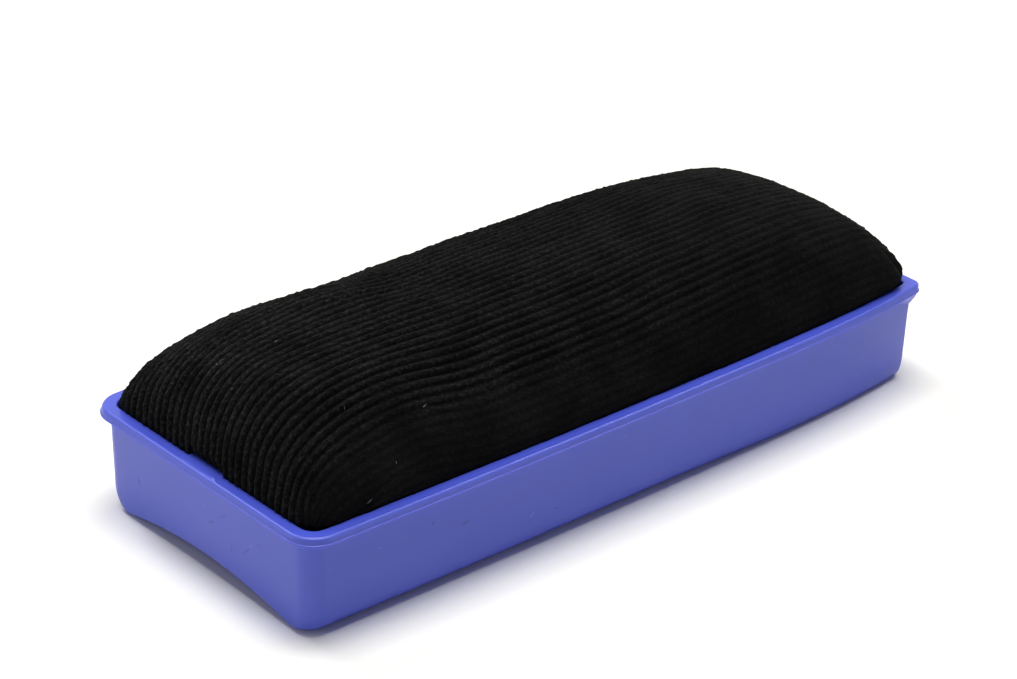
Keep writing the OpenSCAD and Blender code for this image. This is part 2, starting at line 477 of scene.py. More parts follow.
def trayRings():
    # rings of points from the middle of the back, up the outside, over the rim and down the inside
    foot, longR, endR = wallInset(0), tray["longFillet"], tray["endFillet"]
    land = tray["restLand"]
    swell, footRound = tray["flangeSwell"], tray["footRound"]
    outer = trayOutline(foot + endR + land, foot + longR + land, tray["rimRadius"] - foot)
    rings = backRings(outer, 0, True)
    rings.append(wallRing(foot, 0, endR + land * 0.9, longR + land * 0.9, True))
    for z in longR * (1 - np.cos(np.radians(np.linspace(0, 90, 13)))):  # round foot
        rings.append(wallRing(wallInset(z), z, filletInset(endR, z), filletInset(longR, z), True))
    for z in (5.2, 8, 11, 14, 16.5, slopeFoot - 0.3, slopeFoot - 0.1):  # drafted wall
        rings.append(wallRing(wallInset(z), z, arched=True))
    for share in (0.06, 0.12, 0.5, 0.94):  # up the flange's sloping underside
        inset = wallInset(slopeFoot) * (1 - share) - (swell - 0.1) * share
        rings.append(wallRing(inset, slopeFoot + tray["flangeSlope"] * share, arched=True))
    rings += edgeRings(footRound - swell, wallTop + footRound, footRound, np.linspace(-50, 0, 7))
    profile = rimProfile()
    for inward, up in profile:  # outer face
        rings.append(wallRing(inward - swell, rimTop - profile[-1][1] + up))
    for inset in (0.6, 0.9, 1.1, 1.4, 1.7, 2.0, 2.2):  # across the flat of the rim
        rings.append(wallRing(inset, rimTop))
    mouth = tray["mouthRound"]
    rings += edgeRings(mouthInset - mouth, rimTop - mouth, mouth, np.linspace(90, 180, 7))
    tabFoot = rimTop - tray["tabHeight"]  # the inner wall has rings close together here
    for z in (rimTop - 0.6, tabFoot + 0.15, tabFoot, tabFoot - 0.02, tabFoot - 0.3, wallTop - 1, 14, 8):
        rings.append(wallRing(wallInset(z) + tray["wall"], z))
    longIn, endIn = longR - tray["wall"], max(endR - tray["wall"], 0.4)
    for z in longIn * (1 - np.cos(np.radians(np.linspace(90, 0, 9)))):
        level = z + tray["floor"]
        inset = wallInset(level) + tray["wall"]
        rings.append(wallRing(inset, level, filletInset(endIn, z), filletInset(longIn, z), True))
    foot = wallInset(tray["floor"]) + tray["wall"]
    inner = trayOutline(foot + endIn + land, foot + longIn + land, tray["rimRadius"] - foot)
    return rings + backRings(inner, tray["floor"], False)[::-1]


def formTab(points):
    # pushes the mouth's edge in at the middle of each end, standing a little over the rim
    x, y, z = points.T
    side, start = tray["tabWidth"] / 2, tray["tabFrom"]
    window = 1 - smoothStep(side - tray["tabSide"], side + tray["tabSide"], np.abs(y))
    inMouth = (np.abs(x) > halfLength - mouthInset - 0.6) & (np.abs(x) < halfLength - start)
    deep = z > rimTop - tray["tabHeight"] - 0.01
    reach = (halfLength - start - np.abs(x)) / tray["tabEdge"]
    push = tray["tabOut"] * window * np.clip(reach, 0, 1) * (inMouth & deep)
    x -= np.sign(x) * push
    onTop = smoothStep(rimTop - 0.4, rimTop - 0.05, z)
    inside = smoothStep(halfLength - 0.4, halfLength - 0.9, np.abs(x))
    z += tray["tabStand"] * window * (onTop * inside)
    return np.column_stack([x, y, z])


def formBurr(points):
    # a thread of flash across the rim where the mould halves meet
    x, y, z = points.T
    placeX, placeY = tray["nickPlace"]
    length, width, height = tray["nickSize"]
    dx, dy = x - placeX, y - placeY
    along, off = (dx * 0.6 + dy * 0.8), (dx * 0.8 - dy * 0.6)
    z += height * np.exp(-((off / width) ** 2) - (along / length) ** 2) * (z > rimTop - 0.35)
    return np.column_stack([x, y, z])


def rightNarrowing(x):
    # share by which the tray narrows toward its right end
    start = tray["rightFrom"]
    return tray["rightNarrow"] / halfWidth * np.clip((x - start) / (halfLength - start), 0, 1) ** 3


def rightLean(x):
    # how far the flange stands in toward the right end
    return tray["rightLean"] * smoothStep(25, 75, x)


def formRightEnd(points):
    # the right end is narrower, with a tighter foot and a longer slope under its corners
    x, y, z = points.T
    fillet = tray["longFillet"]
    sideFrom, sideTo = tray["rightSides"]
    spanFrom, spanTo = tray["cornerSpan"]
    low = np.clip(z / fillet, 0, 1)
    drawnIn = fillet * (1 - np.sqrt(1 - (1 - low) ** 2))
    side = smoothStep(halfWidth - sideFrom, halfWidth - sideTo, np.abs(y))
    y = y + np.sign(y) * tray["rightFoot"] * drawnIn * side * smoothStep(0, 45, x)
    corner = smoothStep(halfLength - spanFrom, halfLength - spanTo, x)
    corner = corner * smoothStep(halfWidth - spanFrom, halfWidth - spanTo, np.abs(y))
    sloped = smoothStep(tray["cornerFrom"], slopeFoot, z) * smoothStep(wallTop, slopeFoot, z)
    z = z - tray["cornerSlope"] * corner * sloped
    flange = smoothStep(slopeFoot, wallTop, z)
    flangeFoot = flange * smoothStep(rimTop - 0.2, wallTop + 0.3, z)
    x = x - tray["cornerLean"] * corner * flangeFoot
    y = y * (1 - rightNarrowing(x))
    x = x - rightLean(x) * flange
    return np.column_stack([x, y, z])


# scratches and rubbed spots on the outer walls: middle, turn, half sizes
scratches = [
    ((-73.4, -12.0, 9.7), (133, 0, 0), (3, 1.9, 0.13)),
    ((-73.4, -15.8, 12.9), (0, 0, 0), (3, 1.0, 0.12)),
    ((-73.4, -7.6, 8.2), (93, 0, 0), (3, 0.9, 0.14)),
    ((-73.4, -5.5, 13.6), (143, 0, 0), (3, 2.1, 0.1)),
    ((-73.4, -2.2, 11.0), (160, 0, 0), (3, 0.9, 0.3)),
    ((-73.4, 19.2, 9.1), (60, 0, 0), (3, 0.8, 0.3)),
    ((-40.5, -30.2, 11.6), (0, -15, 0), (1.0, 3, 0.35)),
    ((-47.6, -30.1, 14.0), (0, 70, 0), (0.5, 3, 0.25)),
    ((-19.6, -30.3, 6.6), (0, 30, 0), (0.7, 3, 0.25)),
    ((35.0, 30.5, 9.0), (0, 40, 0), (2.2, 3, 0.12)),
    ((73.4, 9.0, 12.0), (35, 0, 0), (3, 1.6, 0.12)),
]
scuffs = [
    ((-73.4, -0.4, 13.3), (50, 0, 0), (3, 0.7, 0.22)),
    ((-73.4, -13.6, 11.5), (133, 0, 0), (3, 0.9, 0.16)),
    ((-73.4, 18.4, 9.8), (110, 0, 0), (3, 0.6, 0.16)),
    ((-25.4, -30.2, 7.3), (0, -35, 0), (0.8, 3, 0.2)),
    ((-3.9, -30.5, 15.5), (0, 0, 0), (0.35, 3, 0.3)),
    ((-59.0, -29.9, 13.4), (0, 20, 0), (0.6, 3, 0.2)),
    ((-12.0, 30.5, 12.0), (0, 25, 0), (1.4, 3, 0.16)),
]


def plasticMaterial():
    # injection-moulded polypropylene: waxy and half matt, so broad soft reflections and faint haze
    material, tree = newMaterial("moulded polypropylene")
    place = addNode(tree, "TexCoord").outputs["Object"]
    # flow clouds, about 25 mm
    tint = colourRamp(tree, noise(tree, place, 38, 3, 0.55), [(0.35, "#4756CC"), (0.65, "#4B59CF")])
    # marks run unsteadily, by up to 0.4 mm
    shake = addNode(tree, "TexNoise", {"Vector": place, "Scale": 600.0, "Detail": 2.0})
    inputs = {"operation": "MULTIPLY_ADD", 0: shake.outputs["Color"]}
    inputs.update({1: (0.0008,) * 3, 2: (-0.0004,) * 3})
    wander = addNode(tree, "VectorMath", inputs).outputs[0]
    shifted = addNode(tree, "VectorMath", {"operation": "ADD", 0: place, 1: wander}).outputs[0]
    scratched = mixColours(tree, streaks(tree, shifted, scratches), tint, "#3841AE")
    rubbed = mixColours(tree, streaks(tree, shifted, scuffs), scratched, "#626CCF")
    # handling leaves smears, about 10 mm
    gloss = remap(tree, noise(tree, place, 90, 6, 0.65), (0.35, 0.7), (0.31, 0.37))
    # mould texture of about 0.4 mm
    grain = noise(tree, place, 2600, 2)
    inputs = {"IOR": 1.49, "Specular IOR Level": 0.5, "Base Color": rubbed, "Roughness": gloss}
    finishMaterial(tree, {**inputs, "Normal": relief(tree, grain, 0.06, 0.05)})
    return material


def makeTray():
    # one closed skin from the middle of the back round to the middle of the floor
    rings = trayRings()
    points, faces = closedSkin(rings, rings[0].mean(0), rings[-1].mean(0))
    points = formRightEnd(formBurr(formTab(points)))
    piece = meshPiece("tray", points, faces, plasticMaterial())
    outwardFaces(piece)
    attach(piece, "root")
    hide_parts("case")


makeTray()
print("tray moulded")


# padded block under its corduroy cover
pad = {
    "overhangLeft": 0.43,  # how far the cloth swells out past the mouth, at each end and side
    "overhangRight": 0.84,
    "overhangSide": 0.37,
    "lip": 0.45,  # height above the rim where that swell is widest
    "crown": 18.85,  # height over the rim
    "crownShift": 15.8,  # the fullest part lies toward one end
    "crownTilt": 0.033,  # share by which it drops toward the right end
    "crownTwist": 0.08,  # the near side stands a little higher than the far side
    # powers of the rounding over each end and over the sides: higher is squarer
    "leftPowers": (5.53, 2.77),
    "rightPowers": (4.11, 3.57),
    "widePowers": (2.66, 1.75),
    "cornerRadius": 5.4,
    # soft unevenness of the stuffing: place, reach along and across, height
    "swells": [
        ((-50, 17), (9, 18), 0.55),
        ((-27, 17), (9, 18), -0.4),
        ((0, 20), (14, 18), -0.3),
        ((27, 17), (11, 18), 0.25),
        ((64, 14), (9, 14), -0.2),
    ],
    "cloth": 1.5,  # thickness with its pile
    "hem": 9,  # how far the cloth is folded under
    "boardThickness": 1.6,
    "gap": 0.3,  # under the pad
    "tabPress": (0.8, 1.2),  # how far the left and the right tab press into it
    "rows": 316,  # of points, from end to end
    "wale": 1.8,  # pitch of the cords
    "waleDepth": 0.45,
    "waleTop": 0.1,  # share of a cord that stays flat on top
    "wornGroove": 0.75,  # share of that depth which is lost where the nap is rubbed flat
    "wornTuft": 0.5,  # and of the tufts' scatter
    "waleStations": (0, 1 / 6, 1 / 3, 1 / 2, 2 / 3, 5 / 6),  # where each cord carries points
    "tuftHeight": 0.09,  # scatter from tuft to tuft along a cord
    "cordSwell": 0.05,  # slow swelling and thinning of a cord
    "fuzz": 0.035,  # scatter from point to point
    "mostCords": 140,  # enough for the whole width
    "skew": 2.6,  # degrees off the length at the middle
    "skewChange": 0.095,  # degrees more for each millimetre along
    "pulled": (-49, 11, 1.6),  # a place where the cloth was pulled on the bias: centre, reach, shift
    # slight waves in the cords: height, lengths along and across, phase
    "waves": [(0.12, 6.3, 9.5, 1.1), (0.08, 2.9, -6.3, 0.0)],
    "skirtPoints": 200,
    # shares of the way out from the middle, over the lining's crown
    "liningShares": (0.985, 0.96, 0.92, 0.87, 0.8, 0.72, 0.62, 0.5, 0.38, 0.26, 0.14),
    "seed": 7,
}

padHalfWidth = halfWidth - mouthInset + pad["overhangSide"]


def domePoints(u, v):
    # place on the smooth pad at shares u of its half length and v of its half width
    halfX = halfLength - mouthInset + np.where(u < 0, pad["overhangLeft"], pad["overhangRight"])
    halfY = padHalfWidth + tray["sideBow"] * (1 - u * u)
    x, y = u * halfX, v * halfY
    full = u + pad["crownShift"] / halfLength * (1 - u * u)
    a = np.where(full < 0, pad["leftPowers"][0], pad["rightPowers"][0])
    b = np.where(full < 0, pad["leftPowers"][1], pad["rightPowers"][1])
    c, d = pad["widePowers"]
    rise = np.maximum(0, 1 - np.abs(full) ** a) ** (1 / b) * np.maximum(0, 1 - np.abs(v) ** c) ** (1 / d)
    crown = pad["crown"] * (1 - pad["crownTilt"] * u - pad["crownTwist"] * v)
    z = rimTop + pad["lip"] + (crown - pad["lip"]) * rise
    for (sx, sy), (reachX, reachY), height in pad["swells"]:
        z = z + height * rise * np.exp(-(((x - sx) / reachX) ** 2) - ((y - sy) / reachY) ** 2)
    r = pad["cornerRadius"]
    dx, dy = np.abs(x) - (halfX - r), np.abs(y) - (halfY - r)
    corner = (dx > 0) & (dy > 0)
    shrink = np.where(corner, np.maximum(dx, dy) / np.maximum(np.hypot(dx, dy), 1e-9), 1)
    x = np.where(corner, np.sign(x) * (halfX - r + dx * shrink), x)
    y = np.where(corner, np.sign(y) * (halfY - r + dy * shrink), y)
    return np.stack([x, y, z], -1)


def spread(count, crowding=4.0):
    # shares from -1 to 1 that crowd toward both ends, where the pad turns down steeply
    t = np.linspace(-1, 1, count)
    return np.sign(t) * (1 - (1 - np.abs(t)) ** crowding)


def arcLength(points):
    # length along a line of points, at each of them
    steps = np.linalg.norm(np.diff(points, axis=0), axis=1)
    return np.concatenate([[0], np.cumsum(steps)])


def clothDrift(x, across):
    # how far the cords have wandered across the pad at a place: skew, a pulled spot and slight waves
    drift = np.radians(pad["skew"] + 0.5 * pad["skewChange"] * x) * x
    centre, reach, shift = pad["pulled"]
    drift = drift + shift * smoothStep(-2, -22, across) * np.exp(-(((x - centre) / reach) ** 2))
    for height, lengthAlong, lengthAcross, phase in pad["waves"]:
        drift = drift + height * np.sin(x / lengthAlong + across / lengthAcross + phase)
    return drift


def zipEdges(a, b, keyA, keyB):
    # triangles between two open lines of points, taken in the order of their keys
    faces, i, j = [], 0, 0
    while i < len(a) - 1 or j < len(b) - 1:
        if j == len(b) - 1 or (i < len(a) - 1 and keyA[i + 1] <= keyB[j + 1]):
            faces.append((a[i], a[i + 1], b[j]))
            i += 1
        else:
            faces.append((a[i], b[j + 1], b[j]))
            j += 1
    return faces


def layRows():
    # rows of points over the pad; every row puts its points on the same cords, so that each
    # groove is a clean line of edges
    t = spread(4001)  # fine enough to measure the crown's length
    crownLine = arcLength(domePoints(t, np.zeros_like(t)))
    middle = np.interp(0, t, crownLine)
    lengths = np.linspace(0, crownLine[-1], pad["rows"])
    shares = np.interp(lengths, crownLine, t)
    shares[0], shares[-1] = -1, 1
    v = spread(801)
    stations = np.array(pad["waleStations"])
    edgeMargin = 0.04  # no cord's points lie closer to the foot
    rows = []
    for u, length in zip(shares, lengths):
        section = domePoints(np.full_like(v, u), v)
        arc = arcLength(section)
        arc = arc - np.interp(0, v, arc)
        across = arc - clothDrift(section[:, 0], arc)
        firstCord, lastCord = math.floor(across[0] / pad["wale"]), math.ceil(across[-1] / pad["wale"])
        cords = np.arange(firstCord, lastCord + 1)
        places = ((cords[:, None] + stations) * pad["wale"]).ravel()
        ids = (cords[:, None] * len(stations) + np.arange(len(stations))).ravel()
        inside = (places > across[0] + edgeMargin) & (places < across[-1] - edgeMargin)
        places, ids = places[inside], ids[inside]
        where = np.interp(places, across, v)
        where = np.concatenate([[-1], where, [1]])
        places = np.concatenate([[across[0]], places, [across[-1]]])
        row = {"u": u, "v": where, "across": places, "along": length - middle, "ids": ids}
        row["points"] = domePoints(np.full_like(where, u), where)
        rows.append(row)
    return rows


def joinRows(rows):
    # quads between the points that two rows share, triangles where one row has more cords
    faces, start = [], 0
    for i in range(len(rows) - 1):
        one, two = rows[i], rows[i + 1]
        startTwo = start + len(one["across"])
        low = max(one["ids"][0], two["ids"][0])
        high = min(one["ids"][-1], two["ids"][-1])
        a0, b0 = low - one["ids"][0] + 1, low - two["ids"][0] + 1
        span = high - low
        for k in range(span):
            a, b = start + a0 + k, startTwo + b0 + k
            faces.append((a, b, b + 1, a + 1))
        faces += zipEdges(
            range(startTwo, startTwo + b0 + 1),
            range(start, start + a0 + 1),
            two["across"][: b0 + 1],
            one["across"][: a0 + 1],
        )
        faces += zipEdges(
            range(startTwo + b0 + span, startTwo + len(two["across"])),
            range(start + a0 + span, startTwo),
            two["across"][b0 + span :],
            one["across"][a0 + span :],
        )
        start = startTwo
    return faces


def boundaryLoop(rows):
    # indices round the pad's foot: near side, right end, far side, left end
    starts = np.cumsum([0] + [len(r["across"]) for r in rows])
    near = [int(s) for s in starts[:-1]]
    far = [int(s) - 1 for s in starts[1:]]
    rightEnd = list(range(near[-1] + 1, far[-1]))
    leftEnd = list(range(near[0] + 1, far[0]))
    return near + rightEnd + far[::-1] + leftEnd[::-1]


def loopNormals(plan):
    # outward directions in plan of a closed loop that runs anticlockwise
    ahead, behind = np.roll(plan, -1, 0), np.roll(plan, 1, 0)
    tangent = ahead - behind
    normal = np.column_stack([tangent[:, 1], -tangent[:, 0]])
    return normal / np.maximum(np.linalg.norm(normal, axis=1, keepdims=True), 1e-9)


# the cloth turns in over the mouth's edge and drops into the tray: inset from its widest, height over
# the rim
turnIn = [(0.04, 0.3), (0.14, 0.18), (0.3, 0.08), (0.5, -0.02), (0.68, -0.2)]
turnIn += [(0.8, -0.5), (0.86, -1.0), (0.88, -1.5), (0.9, -2.0)]


def fitFoot(points):
    # the tabs press into the foot of the pad, and it follows the tray's right end; both fade out over
    # the first 1.2 to 2.6 mm above the rim
    x, y, z = points.T
    side = tray["tabWidth"] / 2
    window = 1 - smoothStep(side - 0.7, side + 0.3, np.abs(y))
    low = 1 - smoothStep(rimTop + 0.3, rimTop + 2.6, z)
    press = np.where(x < 0, *pad["tabPress"]) * window * low * (np.abs(x) > halfLength - 12)
    x = x - np.sign(x) * press
    y = y * (1 - rightNarrowing(x) * (1 - smoothStep(rimTop - 0.1, rimTop + 2.5, z)))
    x = x - rightLean(x) * (1 - smoothStep(rimTop - 0.1, rimTop + 1.2, z))
    return np.column_stack([x, y, z])


# where the nap is rubbed flat, and where painted light and shade make the cloth lighter or darker: how
# much, and the places across and along between which that sets in
rubbedZones = [
    (1.0, (-23, -32), (30, -30)),  # by the near rim
    (0.75, (-28, -37), (-30, 30)),
    (0.65, None, (-30, 60)),  # over the right half
    (0.3, None, (48, 70)),
]
paintedLightZones = [
    (0.4, (-30, 0), (-25, -65)),  # painted light at the left end
    (-0.34, None, (-5, 35)),  # painted shade at the right
    (-0.32, (-20, -36), None),  # and by the near rim
    (0.192, (-20, -36), (10, 50)),
    (-0.42, (2, 20), (-30, 20)),  # and on the far side
]


def zoneSum(zones, across, x):
    # what the zones add up to at places on the cloth
    total = np.zeros(len(x))
    for share, spanAcross, spanAlong in zones:
        setIn = smoothStep(*spanAcross, across) if spanAcross else 1
        setIn = setIn * smoothStep(*spanAlong, x) if spanAlong else setIn
        total += share * setIn
    return total


def unevenCords(rng, rows, cords):
    # slow swelling and thinning of each cord, over about 5 mm
    step = 8  # rows
    table = rng.normal(0, 1, (pad["rows"] // step + 2, pad["mostCords"]))
    place = rows / step
    low = place.astype(int)
    share = smoothStep(0, 1, place - low)
    return table[low, cords] * (1 - share) + table[low + 1, cords] * share


# how the cloth settles over uneven stuffing: a coarse, slightly smaller copy of the pad is blown up
settling = {
    "drawnIn": 1.2,  # how much smaller it starts
    "grid": (57, 33),
    "lumps": 46,
    "lumpReach": (5, 12),
    "lumpHeight": 0.9,
    "voxel": 4.0,  # size of its even mesh
    "heldTo": 0.5,  # height over the rim up to which it is held
    "pressure": 40.0,
    "quality": 6,
    "mass": 0.25,
    "frames": 20,
    "table": (61, 31),  # places along and across where the result is read
    "edge": (0.97, 0.95),  # share of the half length and half width that the table reaches
    "near": 3,  # cells over which single readings are levelled
    "broad": 7,  # cells over which the settled shape is levelled, so that only its lumps stay
    "most": 0.7,  # the furthest that the cover may move
    "seed": 11,
}


def stuffingForm():
    # the pad's dome with lumps in it, closed underneath
    rng = np.random.default_rng(settling["seed"])
    nu, nv = settling["grid"]
    u, v = np.meshgrid(spread(nu, 1.6), spread(nv, 1.6), indexing="ij")
    top = liningPoints(u.ravel() * 0.995, v.ravel() * 0.995, settling["drawnIn"])
    rise = np.zeros(len(top))
    for _ in range(settling["lumps"]):
        centre = rng.uniform(-1, 1, 2) * (halfLength, halfWidth)
        reach = rng.uniform(*settling["lumpReach"])
        height = rng.normal(0, settling["lumpHeight"])
        rise += height * np.exp(-((top[:, :2] - centre) ** 2).sum(1) / reach**2)
    top[:, 2] += rise * smoothStep(rimTop, rimTop + 6, top[:, 2])
    index = np.arange(nu * nv).reshape(nu, nv)
    foot = np.concatenate([index[:, 0], index[-1, 1:], index[-2::-1, -1], index[0, -2:0:-1]])
    low = top[foot] * (1, 1, 0) + (0, 0, rimTop - 6)
    faces = [
        (index[i, j], index[i + 1, j], index[i + 1, j + 1], index[i, j + 1])
        for i in range(nu - 1)
        for j in range(nv - 1)
    ]
    start, count = nu * nv, len(foot)
    for k in range(count):
        following = (k + 1) % count
        faces.append((foot[k], start + k, start + following, foot[following]))
        faces.append((start + k, start + count, start + following))
    form = meshPiece("stuffingForm", np.vstack([top, low, low.mean(0)]), faces, None)
    outwardFaces(form)
    return form


def evaluatedMesh(piece):
    # a piece's mesh with its modifiers applied
    graph = bpy.context.evaluated_depsgraph_get()
    return bpy.data.meshes.new_from_object(piece.evaluated_get(graph))


def blowUp(form):
    # the form as evenly meshed cloth, held at its foot and swelled by air, as a tree to cast rays at
    remesh = form.modifiers.new("evenMesh", "REMESH")
    remesh.mode = "VOXEL"
    remesh.voxel_size = settling["voxel"] * mm
    skin = bpy.data.objects.new("settlingCloth", evaluatedMesh(form))
    bpy.context.collection.objects.link(skin)
    held = [p.index for p in skin.data.vertices if p.co.z < (rimTop + settling["heldTo"]) * mm]
    skin.vertex_groups.new(name="foot").add(held, 1.0, "REPLACE")
    cloth = skin.modifiers.new("cloth", "CLOTH")
    cloth.settings.use_pressure = True
    cloth.settings.uniform_pressure_force = settling["pressure"]
    cloth.settings.effector_weights.gravity = 0
    cloth.settings.vertex_group_mass = "foot"
    cloth.settings.quality = settling["quality"]
    cloth.settings.mass = settling["mass"]
    cloth.point_cache.frame_start = 1
    cloth.point_cache.frame_end = settling["frames"]
    scene = bpy.context.scene
    for frameNumber in range(1, settling["frames"] + 1):
        scene.frame_set(frameNumber)
    swelled = evaluatedMesh(skin)
    places = [p.co / mm for p in swelled.vertices]
    surface = BVHTree.FromPolygons(places, [tuple(p.vertices) for p in swelled.polygons])
    scene.frame_set(1)
    for spare in (skin, form):
        bpy.data.objects.remove(spare)
    return surface


def levelled(table, cells):
    # a running mean along both directions, with the ends carried on outwards
    half = cells // 2
    for axis in (0, 1):
        padded = np.pad(table, [(half, half) if a == axis else (0, 0) for a in (0, 1)], "edge")
        sums = np.cumsum(np.insert(padded, 0, 0, axis), axis)
        size = table.shape[axis]
        table = (sums.take(range(cells, cells + size), axis) - sums.take(range(size), axis)) / cells
    return table


def settledTable():
    # how far the blown-up cloth stands out or in, over the pad's length and width
    surface = blowUp(stuffingForm())
    shares = [np.linspace(-e, e, n) for e, n in zip(settling["edge"], settling["table"])]
    u, v = (grid.ravel() for grid in np.meshgrid(*shares, indexing="ij"))
    here = domePoints(u, v)
    outward = here - liningPoints(u, v, 1.0)
    clear = 12
    shift = [
        clear - (surface.ray_cast(Vector(place + n * clear), Vector(-n))[3] or clear)
        for place, n in zip(here, outward)
    ]
    table = levelled(np.array(shift).reshape(settling["table"]), settling["near"])
    table = table - levelled(levelled(table, settling["broad"]), settling["broad"])
    print("cloth settled, lumps up to", round(float(np.abs(table).max()), 2), "mm")
    return np.clip(table, -settling["most"], settling["most"])


def settledAt(table, u, v):
    # the table read between its places
    (nu, nv), (edgeU, edgeV) = table.shape, settling["edge"]
    a = np.clip((u / edgeU + 1) / 2, 0, 1) * (nu - 1)
    b = np.clip((v / edgeV + 1) / 2, 0, 1) * (nv - 1)
    i, j = np.minimum(a.astype(int), nu - 2), np.minimum(b.astype(int), nv - 2)
    s, t = smoothStep(0, 1, a - i), smoothStep(0, 1, b - j)
    low = table[i, j] * (1 - t) + table[i, j + 1] * t
    high = table[i + 1, j] * (1 - t) + table[i + 1, j + 1] * t
    return low * (1 - s) + high * s


def skirtPath(base):
    # hidden part of the cloth in section, as inset and height over the rim: down inside the tray, round
    # under the pad, back along the hem's upper face and up to the lining
    cloth, bend, under = pad["cloth"], 1.5, hemHeight() - rimTop
    upper, outer, hemEnd = under + cloth, base + 0.35, base + pad["hem"] + 1.5
    path = [(base + 0.1, -6), (outer, under + bend)]
    for a in np.radians((60, 30, 0)):
        path.append((outer + bend * (1 - math.sin(a)), under + bend * (1 - math.cos(a))))
    path += [(base + 5, under), (hemEnd, under), (hemEnd, upper), (base + 5, upper)]
    return path + [(base + 1.2, upper + 0.02), (base + 1.2, -6), (base + 1.4, -1.0)]


def carveCords(rows, points, normal, across, worn, visible):
    # grooves between the cords, tufts along them and the lumps of the stuffing; only the dome and the
    # turn-in show
    rng = np.random.default_rng(pad["seed"])
    rowOf = np.concatenate([np.full(len(r["across"]), i) for i, r in enumerate(rows)])
    domeCount = len(rowOf)
    cord = across / pad["wale"]
    profile = smoothStep(pad["waleTop"], 1.0, np.abs(2 * (cord - np.floor(cord)) - 1))
    u = np.concatenate([np.full(len(r["v"]), r["u"]) for r in rows])
    v = np.concatenate([r["v"] for r in rows])
    aboveRim = smoothStep(rimTop + 1, rimTop + 6, points[:domeCount, 2])
    settled = settledAt(settledTable(), u, v) * aboveRim
    mostCords = pad["mostCords"]
    lumpTable = rng.normal(0, 1, (pad["rows"] + 2, mostCords))
    cordIndex = np.clip(np.floor(cord).astype(int) + mostCords // 2, 0, mostCords - 1)
    rowIndex = np.concatenate([rowOf, np.full(len(points) - domeCount, pad["rows"])])
    lumps = np.clip(lumpTable[rowIndex, cordIndex], -2, 2)
    uneven = np.clip(unevenCords(rng, rowIndex, cordIndex), -1.8, 1.8)
    fuzz = np.clip(rng.normal(0, 1, len(points)), -2.2, 2.2)
    depth = pad["waleDepth"] * (1 - pad["wornGroove"] * worn) * (1 + 0.3 * uneven)
    raised = pad["tuftHeight"] * (1 - pad["wornTuft"] * worn) * lumps + pad["cordSwell"] * uneven
    outward = -depth * profile + raised * (1 - profile) + pad["fuzz"] * fuzz * (1 - 0.3 * profile)
    outward[:domeCount] += settled
    outward[domeCount:visible] = np.minimum(outward[domeCount:visible], 0)
    outward[visible:] = 0
    return points + normal * outward[:, None]


def nameCloth(mesh, along, across, worn, paintedLightTone):
    # cloth coordinates in metres for the weave, along the cords and across them, how far the nap is
    # rubbed flat, and the share of painted light and shade
    layer = mesh.uv_layers.new(name="cloth")
    corner = np.zeros(len(mesh.loops), np.int32)
    mesh.loops.foreach_get("vertex_index", corner)
    uv = np.column_stack([along[corner], across[corner]]) * mm
    layer.data.foreach_set("uv", uv.astype(np.float32).ravel())
    # the second attribute is painted light and shade, lighter at the left end and darker elsewhere
    for name, values in (("rubbed", worn), ("paintedLightTone", paintedLightTone)):
        layer = mesh.attributes.new(name, "FLOAT", "POINT")
        layer.data.foreach_set("value", values.astype(np.float32))


